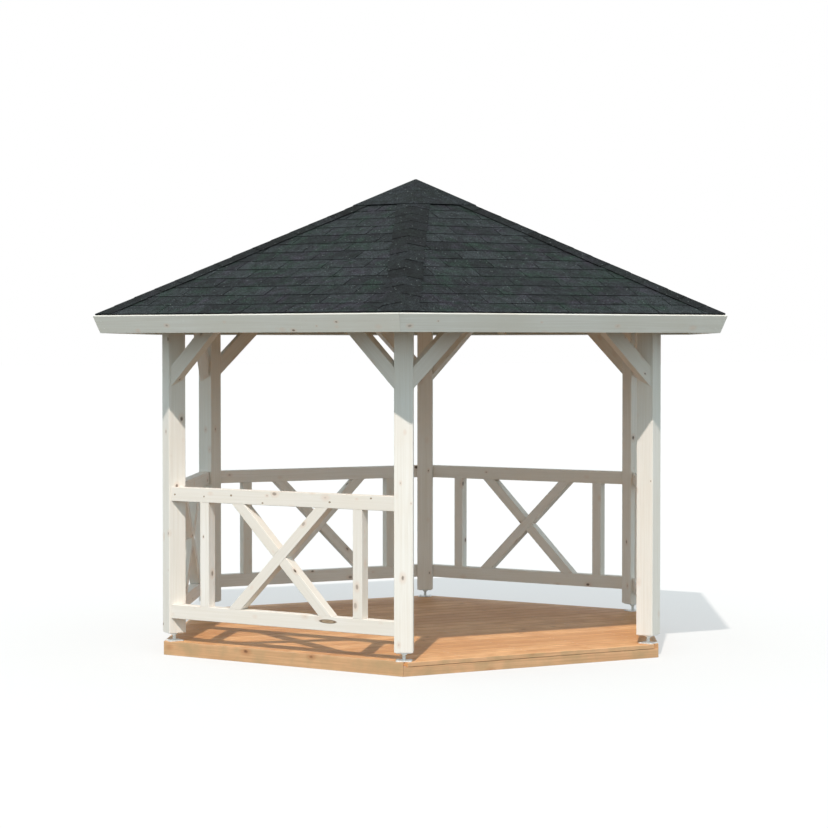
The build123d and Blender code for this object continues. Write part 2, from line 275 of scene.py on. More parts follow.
def planedTimber(name, look):
    # planed softwood under a thin finish: long streaks of the growth rings, small knots, a slow drift of tone
    material, tree = newTree(name)
    grain = addNode(tree, "Attribute", attribute_name="grain").outputs["Vector"]
    tone = addNode(tree, "Attribute", attribute_name="tone").outputs["Fac"]
    base = addNode(tree, "Mix", {0: tone, 6: linear(look["pale"]), 7: linear(look["deep"])}, data_type="RGBA")
    ringScale = (1 / look["ringLength"], 1 / look["ringWidth"], 1 / look["ringWidth"])
    stretched = addNode(tree, "Mapping", {"Vector": grain, "Scale": ringScale}).outputs[0]
    rings = addNode(tree, "TexNoise", {"Vector": stretched, "Scale": 1.0, "Detail": 4.0, "Roughness": 0.62,
                                       "Distortion": 0.8}).outputs["Fac"]
    ringShare = addNode(tree, "MapRange", {"Value": rings, "From Min": 0.36, "From Max": 0.68,
                                           "To Max": look["ringShow"]}).outputs[0]
    streaked = addNode(tree, "Mix", {0: ringShare, 6: base.outputs[2], 7: linear(look["ring"])},
                       data_type="RGBA")
    patches = addNode(tree, "TexNoise", {"Vector": grain, "Scale": 1 / look["patchSize"],
                                         "Detail": 3.0}).outputs["Fac"]
    patchShare = addNode(tree, "MapRange", {"Value": patches, "From Min": 0.4, "From Max": 0.7,
                                            "To Max": look["patchShow"]}).outputs[0]
    drifted = addNode(tree, "Mix", {0: patchShare, 6: streaked.outputs[2], 7: linear(look["patch"])},
                      data_type="RGBA")
    # knots: ovals along the grain, each with its own size and darkness, a reddish ring of wood around them
    wander = addNode(tree, "TexNoise", {"Vector": grain, "Scale": 1 / knotShape["wanderLength"],
                                        "Detail": 2.0})
    bent = addNode(tree, "VectorMath", {0: wander.outputs["Color"], 1: (knotShape["wander"],) * 3, 2: grain},
                   operation="MULTIPLY_ADD").outputs[0]
    oval = addNode(tree, "Mapping", {"Vector": bent, "Scale": (knotShape["oval"], 1, 1)}).outputs[0]
    cells = addNode(tree, "TexVoronoi", {"Vector": oval, "Scale": 1 / look["knotSpacing"]})
    chance = addNode(tree, "SeparateColor", {"Color": cells.outputs["Color"]})
    size = addNode(tree, "MapRange", {"Value": chance.outputs[0], "To Min": knotShape["smallest"],
                                      "To Max": knotShape["largest"]}).outputs[0]
    depth = addNode(tree, "MapRange", {"Value": chance.outputs[1],
                                       "To Min": knotShape["faintest"]}).outputs[0]
    reach = addNode(tree, "Math", {0: cells.outputs["Distance"], 1: size}, operation="DIVIDE").outputs[0]
    edge = look["knotRadius"] / look["knotSpacing"]
    inside = addNode(tree, "MapRange", {"Value": reach, "From Min": edge,
                                        "From Max": edge * knotShape["core"]})
    knot = addNode(tree, "Math", {0: inside.outputs[0], 1: depth}, operation="MULTIPLY").outputs[0]
    halo = addNode(tree, "MapRange", {"Value": reach, "From Min": edge * knotShape["haloReach"],
                                      "From Max": edge, "To Max": knotShape["haloShow"]}).outputs[0]
    ringed = addNode(tree, "Mix", {0: halo, 6: drifted.outputs[2], 7: linear(look["halo"])}, data_type="RGBA")
    knotted = addNode(tree, "Mix", {0: knot, 6: ringed.outputs[2], 7: linear(look["knot"])}, data_type="RGBA")
    height = addNode(tree, "Math", {0: rings, 1: knot}, operation="SUBTRACT").outputs[0]
    bump = addNode(tree, "Bump", {"Height": height, "Distance": 0.0006, "Strength": 0.5})
    rough = addNode(tree, "MapRange", {"Value": rings, "To Min": look["rough"] - 0.08,
                                       "To Max": look["rough"] + 0.08})
    shader = addNode(tree, "BsdfPrincipled", {"Base Color": knotted.outputs[2], "Roughness": rough.outputs[0],
                                              "Normal": bump.outputs[0], "IOR": 1.5})
    addNode(tree, "OutputMaterial", {"Surface": shader.outputs[0]})
    return material


# growth rings of 2 to 4 mm, drawn at 9 to 12 mm so that they show, in streaks of about 0.6 m
# knots up to 25 mm across
# whitewashed spruce, planed and rolled: chalky white with the rings faintly through it
whitewash = dict(pale="#f3f0eb", deep="#ebe7e0", ring="#dbd3c6", patch="#e8dfd3", knot="#54402e",
                 halo="#dcc3b1",
                 ringLength=0.59, ringWidth=0.012, ringShow=0.45, patchSize=0.42, patchShow=0.5,
                 knotSpacing=0.085, knotRadius=0.0105, rough=0.62)
postGlulam = planedTimber("whitewashedGlulam", {**whitewash, "knotSpacing": 0.1})
railSpruce = planedTimber("whitewashedSpruce", {**whitewash, "pale": "#f2eeea", "deep": "#e8e2da"})
# painted shade: the fascia takes the frame's whitewash drawn greyer and cooler, for the shade on its face,
# which leans down towards the ground
fasciaSprucePaintedShade = planedTimber("whitewashedFascia", {
    **whitewash, "pale": "#e0e0db", "deep": "#d8d8d1", "ring": "#c8c4ba", "patch": "#d3cfc4",
    "knotSpacing": 0.075, "knotRadius": 0.0095})
# spruce planed and left bare under the roof: pale straw, made more golden as painted bounce light, for the
# warm light thrown up from the deck into the shade under the roof
bareSpruceAndPaintedBounce = {**whitewash, "pale": "#e2d2b3", "deep": "#cfbb95", "ring": "#bfa67c"}
rafterSpruce = planedTimber("planedRafter", bareSpruceAndPaintedBounce)
liningSpruce = planedTimber("planedLining", {**bareSpruceAndPaintedBounce, "knotSpacing": 0.09})
# spruce decking under a brown wood oil: warm orange brown, streaked dark along the boards
brownOil = dict(pale="#f9c48a", deep="#d9a067", ring="#975e31", patch="#c0834d", knot="#5d3720",
                halo="#a9713f",
                ringLength=0.59, ringWidth=0.009, ringShow=0.75, patchSize=0.165, patchShow=0.7,
                knotSpacing=0.13, knotRadius=0.009, rough=0.55)
deckSpruce = planedTimber("brownOiledSpruce", brownOil)
# the trims are sawn, and take the oil duller
trimSpruce = planedTimber("brownOiledTrim", {
    **brownOil, "pale": "#e2b389", "deep": "#d3a87c", "ring": "#a4764e", "patch": "#b2966f",
    "knot": "#5f3a22",
    "halo": "#a8693c", "ringShow": 0.5, "patchSize": 0.11, "patchShow": 0.75, "knotSpacing": 0.14,
    "knotRadius": 0.012, "rough": 0.6})
# joists dipped in a thin brown preservative: duller and greyer than the oiled boards
joistSpruce = planedTimber("brownDippedJoist", {
    **brownOil, "pale": "#b08a66", "deep": "#a57e5a", "ring": "#7d5c3e", "patch": "#94734f",
    "knot": "#59391f",
    "halo": "#8a6540", "ringShow": 0.5, "patchSize": 0.33, "patchShow": 0.5, "knotSpacing": 0.18,
    "rough": 0.75})


def bitumenShingle(name, look):
    # bitumen felt under crushed slate: charcoal in clouds of green and plum, fine grit and a few pale chips
    material, tree = newTree(name)
    place = addNode(tree, "TexCoord").outputs["Object"]
    tone = addNode(tree, "Attribute", attribute_name="tone").outputs["Fac"]
    tab = addNode(tree, "Mix", {0: tone, 6: linear(look["dark"]), 7: linear(look["light"])}, data_type="RGBA")
    # the plum clouds are a little larger than the green ones and lie elsewhere, the dusky ones are smaller
    moved = addNode(tree, "Mapping", {"Vector": place, "Location": (7.3, 2.1, 4.4)}).outputs[0]
    green = addNode(tree, "TexNoise", {"Vector": place, "Scale": 1 / look["cloud"], "Detail": 5.0,
                                       "Roughness": 0.65})
    plum = addNode(tree, "TexNoise", {"Vector": moved, "Scale": 0.8 / look["cloud"], "Detail": 5.0,
                                      "Roughness": 0.65})
    dusk = addNode(tree, "TexNoise", {"Vector": moved, "Scale": 2.6 / look["cloud"], "Detail": 3.0,
                                      "Roughness": 0.6})
    greenShare = addNode(tree, "MapRange", {"Value": green.outputs["Fac"], "From Min": 0.48, "From Max": 0.66,
                                            "To Max": 0.8}).outputs[0]
    plumShare = addNode(tree, "MapRange", {"Value": plum.outputs["Fac"], "From Min": 0.52, "From Max": 0.7,
                                           "To Max": 0.7}).outputs[0]
    greened = addNode(tree, "Mix", {0: greenShare, 6: tab.outputs[2], 7: linear(look["green"])},
                      data_type="RGBA")
    clouded = addNode(tree, "Mix", {0: plumShare, 6: greened.outputs[2], 7: linear(look["plum"])},
                      data_type="RGBA")
    # the grit and the dusky clouds only change how light the felt is
    grit = addNode(tree, "TexNoise", {"Vector": place, "Scale": 1 / look["grit"], "Detail": 3.0,
                                      "Roughness": 0.8}).outputs["Fac"]
    gritLight = addNode(tree, "MapRange", {"Value": grit, "From Min": 0.36, "From Max": 0.64,
                                           "To Min": 0.05, "To Max": 2.1}).outputs[0]
    duskLight = addNode(tree, "MapRange", {"Value": dusk.outputs["Fac"], "From Min": 0.36, "From Max": 0.62,
                                           "To Min": 0.74, "To Max": 1.26}).outputs[0]
    shade = addNode(tree, "Math", {0: gritLight, 1: duskLight}, operation="MULTIPLY").outputs[0]
    speckled = addNode(tree, "Mix", {0: 1.0, 6: clouded.outputs[2], 7: shade}, data_type="RGBA",
                       blend_type="MULTIPLY")
    chip = addNode(tree, "TexVoronoi", {"Vector": place,
                                        "Scale": 1 / look["chipSpacing"]}).outputs["Distance"]
    chipEdge = look["chip"] / look["chipSpacing"]
    chipShare = addNode(tree, "MapRange", {"Value": chip, "From Min": chipEdge, "From Max": 0.0,
                                           "To Max": 0.65}).outputs[0]
    chipped = addNode(tree, "Mix", {0: chipShare, 6: speckled.outputs[2], 7: linear(look["chipColour"])},
                      data_type="RGBA")
    bump = addNode(tree, "Bump", {"Height": grit, "Distance": 0.0015, "Strength": 0.7})
    shader = addNode(tree, "BsdfPrincipled", {"Base Color": chipped.outputs[2], "Roughness": 0.95,
                                              "Specular IOR Level": 0.15, "Normal": bump.outputs[0]})
    addNode(tree, "OutputMaterial", {"Surface": shader.outputs[0]})
    return material


# slate grit of 1 to 1.5 mm, drawn at 8 mm so that it shows, and its pale chips at 5 mm; clouds of about 15 cm
slateGrit = dict(dark="#1c2022", light="#2b3032", green="#202e28", plum="#302d36", cloud=0.143, grit=0.008,
                 chip=0.005, chipSpacing=0.038, chipColour="#9aa3a1")
shingleFelt = bitumenShingle("slateGritShingle", slateGrit)
# the ridge felt is darker than the tabs' felt
ridgeFelt = bitumenShingle("slateGritRidge", {
    **slateGrit, "dark": "#111415", "light": "#2a2f32", "green": "#1e2423", "plum": "#242429"})


def cutBitumenAndShadow(name, look):
    # the cut edge of the felt: black bitumen with no grit, dull, with faint flecks of its filler, drawn
    # nearer black than bitumen is, as painted shadow for the thin dark line along each butt and edge
    material, tree = newTree(name)
    place = addNode(tree, "TexCoord").outputs["Object"]
    fleck = addNode(tree, "TexNoise", {"Vector": place, "Scale": 1 / look["fleck"],
                                       "Detail": 2.0}).outputs["Fac"]
    colour = addNode(tree, "Mix", {0: fleck, 6: linear(look["dark"]), 7: linear(look["light"])},
                     data_type="RGBA")
    shader = addNode(tree, "BsdfPrincipled", {"Base Color": colour.outputs[2], "Roughness": 0.85,
                                              "Specular IOR Level": 0.08})
    addNode(tree, "OutputMaterial", {"Surface": shader.outputs[0]})
    return material


# flecks of about 1 mm, drawn at 4.5 mm so that they show; the near black is partly bitumen and partly painted
# shadow
bitumenEdgeAndShadow = cutBitumenAndShadow("cutBitumenEdge", dict(dark="#030404", light="#0e0f10", fleck=0.0045))


def paintFaces(piece, material, directions):
    # the faces that look along one of the directions get a second material
    piece.data.materials.append(material)
    for face in piece.data.polygons:
        if any(face.normal.dot(direction) > 0.7 for direction in directions):
            face.material_index = 1


def blackenEdges(piece, matrix):
    # the cut edges of felt that lies on a slope: its butts, and its ends to both sides, painted near black as
    # bitumen and as painted shadow along them
    across, down = (matrix.to_3x3().col[i] for i in (0, 1))
    paintFaces(piece, bitumenEdgeAndShadow, (down, across, -across))


def galvanisedSteel(name, look):
    # hot-dip zinc: bright grey metal with soft spangles and a slightly grainy skin
    material, tree = newTree(name)
    place = addNode(tree, "TexCoord").outputs["Object"]
    spangle = addNode(tree, "TexVoronoi", {"Vector": place, "Scale": 1 / look["spangle"]}).outputs["Color"]
    shade = addNode(tree, "SeparateColor", {"Color": spangle}).outputs[0]
    colour = addNode(tree, "Mix", {0: shade, 6: linear(look["dark"]), 7: linear(look["light"])},
                     data_type="RGBA")
    rough = addNode(tree, "MapRange", {"Value": shade, "To Min": 0.46, "To Max": 0.6})
    skin = addNode(tree, "TexNoise", {"Vector": place, "Scale": 1 / look["skin"], "Detail": 2.0})
    bump = addNode(tree, "Bump", {"Height": skin.outputs["Fac"], "Distance": 0.0002, "Strength": 0.4})
    shader = addNode(tree, "BsdfPrincipled", {"Base Color": colour.outputs[2], "Metallic": 0.55,
                                              "Roughness": rough.outputs[0], "Normal": bump.outputs[0]})
    addNode(tree, "OutputMaterial", {"Surface": shader.outputs[0]})
    return material


# spangles of 8 mm; the grain of the skin is finer than a millimetre, drawn at 4 mm so that it shows
zinc = galvanisedSteel("galvanisedSteel", dict(dark="#d9dcdc", light="#eceeec", spangle=0.008, skin=0.004))
print("materials made")


# camera, floor and light
# heading and dip in degrees, lens and sensor in millimetres, shift as a share of the frame
viewpoint = dict(place=(-7.278, -13.871, 2.035), heading=62.36, dip=1.395, lens=97.91, sensor=36,
                 shift=-0.0163)
heading, dip = math.radians(viewpoint["heading"]), math.radians(viewpoint["dip"])
aim = Vector((math.cos(heading) * math.cos(dip), math.sin(heading) * math.cos(dip), -math.sin(dip)))
bpy.ops.object.camera_add(location=viewpoint["place"], rotation=aim.to_track_quat("-Z", "Y").to_euler())
camera = bpy.context.object
camera.data.lens = viewpoint["lens"]
camera.data.sensor_width = viewpoint["sensor"]
camera.data.shift_y = viewpoint["shift"]
scene.camera = camera

# a warm sun from the southwest, and a cool open sky
light = dict(sun=3.15, sunSoftness=1.0, sunColour="#fff6ee", towards=(0.472, 0.645, -1),
             skyColour="#e1f4fa", horizon=1.3, zenith=0.75)
bpy.ops.object.light_add(type="SUN", rotation=Vector(light["towards"]).to_track_quat("-Z", "Y").to_euler())
sun = bpy.context.object
sun.data.energy = light["sun"]
sun.data.angle = math.radians(light["sunSoftness"])
sun.data.color = linear(light["sunColour"])[:3]


def seenDirectly(tree):
    # 1 for what the camera, a reflection or a clear piece sees, 0 for the light that the surroundings give
    ray = addNode(tree, "LightPath").outputs
    seen = addNode(tree, "Math", {0: ray["Is Camera Ray"], 1: ray["Is Glossy Ray"]}, operation="MAXIMUM")
    seen = addNode(tree, "Math", {0: seen.outputs[0], 1: ray["Is Transmission Ray"]}, operation="MAXIMUM")
    return seen.outputs[0]


world = bpy.data.worlds.new("paleStudio")
scene.world = world
world.use_nodes = True
tree = world.node_tree
tree.nodes.clear()
# the open sky gives more light from low down, so that it reaches in under the roof
height = addNode(tree, "SeparateXYZ", {0: addNode(tree, "TexCoord").outputs["Generated"]}).outputs["Z"]
bright = addNode(tree, "MapRange", {"Value": height, "From Min": 0.1, "From Max": 0.6,
                                    "To Min": light["horizon"], "To Max": light["zenith"]}).outputs[0]
dome = addNode(tree, "Background", {"Color": linear(light["skyColour"]), "Strength": bright})
backdrop = addNode(tree, "Background", {"Color": linear("#ffffff"), "Strength": 1.0})
mixed = addNode(tree, "MixShader", {0: seenDirectly(tree), 1: dome.outputs[0], 2: backdrop.outputs[0]})
addNode(tree, "OutputWorld", {"Surface": mixed.outputs[0]})

# the floor looks white with a pale shadow, and throws back as little light as grass would
floorLook = dict(seen="#dedede", bounce="#5f5d56", lift=0.5, size=400)
bpy.ops.object.select_all(action="DESELECT")
bpy.ops.mesh.primitive_plane_add(size=floorLook["size"])
floor = bpy.context.object
floor.name = "studioFloor"
floorPaint, tree = newTree("paleFloor")
seen = seenDirectly(tree)
colour = addNode(tree, "Mix", {0: seen, 6: linear(floorLook["bounce"]), 7: linear(floorLook["seen"])},
                 data_type="RGBA")
lifted = addNode(tree, "Math", {0: seen, 1: floorLook["lift"]}, operation="MULTIPLY")
paint = addNode(tree, "BsdfDiffuse", {"Color": colour.outputs[2]})
glow = addNode(tree, "Emission", {"Color": linear("#ffffff"), "Strength": 1.0})
shader = addNode(tree, "MixShader", {0: lifted.outputs[0], 1: paint.outputs[0], 2: glow.outputs[0]})
addNode(tree, "OutputMaterial", {"Surface": shader.outputs[0]})
floor.data.materials.append(floorPaint)
scene.view_settings.view_transform = "Standard"
print("camera and light made")


# timbers: a copy of each CAD node, its edges softened and its grain laid along each member
timberEdge = dict(width=0.0012, segments=2, sharp=math.radians(25))


def dressTimbers(nodeName, pieceName, material, slotName):
    # gives back the box of each timber, for what is set on them
    timbers = loosePieces(mergedCopy(nodeName, pieceName))
    boxes = [pieceBox(timber) for timber in timbers]
    for timber in timbers:
        layGrain(timber)
        applyModifier(timber, "BEVEL", width=timberEdge["width"], segments=timberEdge["segments"],
                      limit_method="ANGLE", angle_limit=timberEdge["sharp"])
    piece = joinPieces(timbers, pieceName)
    smoothPiece(piece)
    applyModifier(piece, "WEIGHTED_NORMAL", keep_sharp=True)  # flat faces stay flat up to their soft edges
    finishPiece(piece, material, slotName, nodeName)
    return boxes


for name in cornerAngles:
    dressTimbers(f"post_{name}", f"postTimber_{name}", postGlulam, "post_wood")
    dressTimbers(f"braces_{name}", f"braceTimbers_{name}", railSpruce, "brace_wood")
for name in bayAngles:
    if name != "south":
        dressTimbers(f"railing_{name}", f"railingTimbers_{name}", railSpruce, "railing_wood")
    # the fascia boards take the whitewash drawn greyer, as painted shade
    dressTimbers(f"fascia_{name}", f"fasciaBoard_{name}", fasciaSprucePaintedShade, "fascia_wood")
dressTimbers("ring_beams", "ringBeamTimbers", rafterSpruce, "roof_frame_wood")
dressTimbers("hip_rafters", "hipRafterTimbers", rafterSpruce, "roof_frame_wood")
dressTimbers("jack_rafters", "jackRafterTimbers", rafterSpruce, "roof_frame_wood")
dressTimbers("key_block", "keyBlockTimber", rafterSpruce, "roof_frame_wood")
boardBoxes = dressTimbers("deck_boards", "deckBoardTimbers", deckSpruce, "deck_wood")
joistBoxes = dressTimbers("deck_joists", "deckJoistTimbers", joistSpruce, "deck_frame_wood")
dressTimbers("deck_trims", "deckTrimTimbers", trimSpruce, "deck_wood")
# the boards' long edges take the oil as the trims under them do
paintFaces(bpy.data.objects["deckBoardTimbers"], trimSpruce, (Vector((0, 1, 0)), Vector((0, -1, 0))))
print("timbers dressed")


# deck screws: two in each board over each joist
deckScrew = dict(radius=0.0042, drive=0.0018, depth=0.0012, proud=0.0003, sink=0.0009, sides=10,
                 fromEdge=0.022, fromEnd=0.06)


def modelScrew():
    # a flat head with its drive sunk in the middle
    low = deckScrew["proud"] - deckScrew["depth"]
    screw = addRod("screwHead", deckScrew["sides"], deckScrew["radius"], low, deckScrew["proud"])
    pick(screw, "FACE", lambda middle, normal: normal.z > 0.9)
    bpy.ops.mesh.inset(thickness=deckScrew["radius"] - deckScrew["drive"])
    bpy.ops.transform.translate(value=(0, 0, -deckScrew["sink"]))
    endEdit()
    return screw


screwModel = modelScrew()
deckTop = max(high.z for low, high in boardBoxes)
places = []
for boardLow, boardHigh in boardBoxes:
    for joistLow, joistHigh in joistBoxes:
        x = (joistLow.x + joistHigh.x) / 2
        for y in (boardLow.y + deckScrew["fromEdge"], boardHigh.y - deckScrew["fromEdge"]):
            if abs(x) < boardHigh.x - deckScrew["fromEnd"] and joistLow.y < y < joistHigh.y:
                places.append(Matrix.Translation((x, y, deckTop)))
finishPiece(placeCopies(screwModel, "deckScrews", places), zinc, "galvanised_steel")
print("deck screws set:", len(places))

# the roof faces: X along the eave, Y down the slope from the peak, Z square off the board tops
# the faces rise a little over the solids' board tops, and what is spare at the hips is cut off again
roof = dict(pitch=math.radians(25), rise=0.0003, spare=0.05)
cosPitch, sinPitch = math.cos(roof["pitch"]), math.sin(roof["pitch"])
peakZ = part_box("roof_boards_south")[1].z + roof["rise"]
eaveApothem = -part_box("fascia_south")[0].y
slopeLength = eaveApothem / cosPitch
spread = cosPitch * tan30  # half a face's width for each metre down its slope


def slopeMatrix(angle, fall):
    # X across, Y down a slope that falls from the peak, Z square off it
    out, side = levelDirections(angle)
    down = out * math.cos(fall) - Vector((0, 0, math.sin(fall)))
    return Matrix.Translation((0, 0, peakZ)) @ facing(-side, down, (-side).cross(down))


def faceMatrix(angle):
    return slopeMatrix(angle, roof["pitch"])


def cutToHips(piece, gap):
    # trims what lies on a face to the upright planes through its two hips
    for side in (1, -1):
        normal = Vector((side, -spread, -spread * math.tan(roof["pitch"]))).normalized()
        cutAway(piece, normal * -gap, normal)


# roof boards, tongued and grooved, seen from below
lining = dict(thick=0.019, cover=0.096, gap=0.0004, joint=0.0035, fromEave=0.022)


def modelLining():
    end = slopeLength - lining["fromEave"]
    boards = []
    for row in range(math.ceil(end / lining["cover"])):
        high = end - row * lining["cover"]
        low = max(high - lining["cover"] + lining["gap"], 0.0)
        half = high * spread + roof["spare"]
        board = addBlock("roofBoard", (-half, low, -lining["thick"]), (half, high, 0))
        pick(board, "EDGE", lambda middle, along: abs(along.x) > 0.9 and middle.z < -lining["thick"] / 2)
        bpy.ops.mesh.bevel(offset=lining["joint"], segments=1)
        endEdit()
        cutToHips(board, lining["gap"])
        layGrain(board)
        boards.append(board)
    return joinPieces(boards, "roofBoards")


liningModel = modelLining()
for name, angle in bayAngles.items():
    twin = copyPiece(liningModel, f"roofBoardTimbers_{name}")
    placePiece(twin, faceMatrix(angle))
    finishPiece(twin, liningSpruce, "roof_board_wood", f"roof_boards_{name}")
bpy.data.objects.remove(liningModel)
print("roof boards laid")

# shingles: an underlay sheet and a starter strip, then tabs course by course, half a tab over each time
shingle = dict(course=0.140, lap=0.012, tab=1 / 3, slot=0.0065, foot=0.0012, thin=0.0020, butt=0.0046,
               wear=0.0008,
               stagger=0.006, slip=0.0025, curl=0.006, twist=0.002, fromEave=0.015, fromHip=0.0015)
underlay = dict(low=0.0003, top=0.0011, fromEdge=0.004, tone=0.5)
starter = dict(thick=0.0036, tone=0.2)


def modelTab():
    # a wedge, thin at its upper edge, its exposed edges worn round
    top = shingle["course"] + shingle["lap"]
    tab = addBlock("shingleTab", (0, 0, shingle["foot"]),
                   (shingle["tab"] - shingle["slot"], top, shingle["butt"]))
    pick(tab, "VERT", lambda co: co.y < near and co.z > shingle["foot"] + near)
    bpy.ops.transform.translate(value=(0, 0, shingle["thin"] - shingle["butt"]))
    endEdit()
    pick(tab, "EDGE", lambda middle, along: middle.z > shingle["butt"] - near and middle.y > top - near)
    bpy.ops.mesh.bevel(offset=shingle["wear"], segments=2)
    endEdit()
    return tab


def shingleFace(angle, name):
    end = slopeLength - shingle["fromEave"] / cosPitch
    half = end * spread + roof["spare"]
    sheet = addBlock("underlay", (-half, 0.0, underlay["low"]),
                     (half, end - underlay["fromEdge"], underlay["top"]))
    setTone(sheet, underlay["tone"])
    # the starter strip under the lowest course thickens the edge at the eave
    strip = addBlock("starterStrip", (-half, end - shingle["course"] / 2, shingle["foot"]),
                     (half, end, shingle["foot"] + starter["thick"]))
    setTone(strip, starter["tone"])
    tabs = [sheet, strip]
    for row in range(math.ceil(end / shingle["course"])):
        low = end - row * shingle["course"]
        width = low * spread
        first = -math.ceil(width / shingle["tab"]) - 1
        shift = shingle["tab"] / 2 * (row % 2) + rng.uniform(-shingle["stagger"], shingle["stagger"])
        for column in range(first, -first + 1):
            x = column * shingle["tab"] + shift
            if x + shingle["tab"] > -width and x < width:
                twin = copyPiece(tabModel, "tab")
                curl = Matrix.Rotation(rng.uniform(0, shingle["curl"]), 4, "X")
                turn = curl @ Matrix.Rotation(rng.uniform(-shingle["twist"], shingle["twist"]), 4, "Z")
                if row == 0:
                    turn = Matrix.Rotation(starter["thick"] / shingle["course"], 4, "X") @ turn
                slip = rng.uniform(-shingle["slip"], shingle["slip"])
                corner = Vector((x + slip, low - shingle["course"] - shingle["lap"], 0))
                placePiece(twin, Matrix.Translation(corner) @ turn)
                setTone(twin, rng.random())
                tabs.append(twin)
    piece = joinPieces(tabs, f"shingleTabs_{name}")
    cutToHips(piece, shingle["fromHip"])
    cutAway(piece, Vector((0, 0, 0)), Vector((0, -1, 0)))  # what runs past the peak
    matrix = faceMatrix(angle)
    placePiece(piece, matrix)
    finishPiece(piece, shingleFelt, "bitumen_shingle", f"shingles_{name}")
    blackenEdges(piece, matrix)


tabModel = modelTab()
for name, angle in bayAngles.items():
    shingleFace(angle, name)
bpy.data.objects.remove(tabModel)
print("shingles laid")

# hip caps: felt folded over each hip and lapped up the slope, darker on two of the hips
hipCap = dict(wing=0.113, exposure=0.150, length=0.190, thick=0.0016, low=0.0074, fold=0.012, wear=0.0005,
              skew=0.006, twist=0.006, darkHips=("southeast", "west"), darkTones=(0.0, 0.4), tones=(0.1, 0.5))
peakCap = dict(reach=0.480, low=0.0117, thick=0.0018, patch=0.22, patchThick=0.0009, over=0.1, spare=0.02,
               tones=(0.2, 0.8))
hipPitch = math.atan(math.tan(roof["pitch"]) * cos30)
hipTilt = math.acos(sinPitch * cos30 * math.sin(hipPitch) + cosPitch * math.cos(hipPitch))  # from hip to face
hipLength = (eaveApothem - shingle["fromEave"]) / cos30 / math.cos(hipPitch)
capRise = hipCap["thick"] / hipCap["exposure"]


def foldOver(piece, fold):
    # a flat piece bent down both ways from its middle line, the fold rounded
    for side in (1, -1):
        pick(piece, "VERT", lambda co: co.x * side > near)
        bpy.ops.transform.rotate(value=-side * hipTilt, orient_axis="Y", center_override=(0, 0, 0))
        endEdit()
    pick(piece, "EDGE", lambda middle, along: abs(middle.x) < near and abs(along.y) > 0.5)
    bpy.ops.mesh.bevel(offset=fold, segments=4)
    endEdit()


def modelHipCap():
    cap = addBlock("hipCap", (-hipCap["wing"], -hipCap["length"], 0), (hipCap["wing"], 0, hipCap["thick"]))
    pick(cap, "EDGE", lambda middle, along: abs(along.x) > 0.9)
    bpy.ops.mesh.subdivide(number_cuts=1)
    endEdit()
    foldOver(cap, hipCap["fold"])
    # the upper edge of the butt, which drops with the fold, is worn round
    pick(cap, "EDGE", lambda middle, along: middle.y > -near
         and middle.z > hipCap["thick"] * 0.8 - abs(middle.x) * math.tan(hipTilt))
    bpy.ops.mesh.bevel(offset=hipCap["wear"], segments=1)
    endEdit()
    return cap


def foldHipCaps(angle, name):
    tones = hipCap["darkTones"] if name in hipCap["darkHips"] else hipCap["tones"]
    lift = hipCap["low"] + capRise * hipCap["length"]
    caps = []
    while hipLength - len(caps) * hipCap["exposure"] > peakCap["reach"] - peakCap["over"]:
        twin = copyPiece(capModel, "cap")
        butt = hipLength - len(caps) * hipCap["exposure"]
        twist = Matrix.Rotation(rng.uniform(-hipCap["twist"], hipCap["twist"]), 4, "Z")
        slide = rng.uniform(-hipCap["skew"], hipCap["skew"])
        lean = Matrix.Rotation(math.atan(capRise), 4, "X")
        placePiece(twin, Matrix.Translation((slide, butt, lift)) @ lean @ twist)
        setTone(twin, rng.uniform(*tones))
        caps.append(twin)
    piece = joinPieces(caps, f"hipCaps_{name}")
    matrix = slopeMatrix(angle, hipPitch)
    placePiece(piece, matrix)
    for side in (30, -30):
        out = levelDirections(angle + side)[0]
        cutAway(piece, out * (eaveApothem - shingle["fromEave"]), out)
    finishPiece(piece, ridgeFelt, "bitumen_shingle", "hip_caps")
    blackenEdges(piece, matrix)


capModel = modelHipCap()
for name, angle in cornerAngles.items():
    foldHipCaps(angle, name)
bpy.data.objects.remove(capModel)
print("hip caps folded")


# peak cap: a felt triangle on each face, and a smaller patch over their tips
def modelPeakCap():
    layers = ((peakCap["reach"] * cos30 / cosPitch, peakCap["low"], peakCap["thick"]),
              (peakCap["patch"], peakCap["low"] + peakCap["thick"], peakCap["patchThick"]))
    sheets = []
    for reach, low, thick in layers:
        half = reach * spread + peakCap["spare"]
        sheet = addBlock("peakSheet", (-half, 0, low), (half, reach, low + thick))
        pick(sheet, "EDGE", lambda middle, along: abs(along.x) > 0.9 and middle.y > reach - near
             and middle.z > low + thick / 2)
        bpy.ops.mesh.bevel(offset=thick * 0.4, segments=2)
        endEdit()
        sheets.append(sheet)
    cap = joinPieces(sheets, "peakSheets")
    cutToHips(cap, 0)
    return cap


peakModel = modelPeakCap()
peakSheets = []
for angle in bayAngles.values():
    twin = copyPiece(peakModel, "peakSheet")
    setTone(twin, rng.uniform(*peakCap["tones"]))
    placePiece(twin, faceMatrix(angle))
    peakSheets.append(twin)
bpy.data.objects.remove(peakModel)
peakCapFelt = finishPiece(joinPieces(peakSheets, "peakCapFelt"), ridgeFelt, "bitumen_shingle", "apex_cap")
# the peak sheets' butts get the near-black edge: bitumen, and painted shadow along them
paintFaces(peakCapFelt, bitumenEdgeAndShadow, [faceMatrix(angle).to_3x3().col[1] for angle in bayAngles.values()])
print("peak cap laid")

# brace screws: two heads near each end, on the underside
braceScrew = dict(fromEnd=0.045, apart=0.036, postGap=0.0593)
postRing = (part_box("post_east")[0].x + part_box("post_east")[1].x) / 2
bayInner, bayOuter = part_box("railing_north")[0].y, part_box("railing_north")[1].y
braceLow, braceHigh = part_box("braces_east")[0].z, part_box("braces_east")[1].z
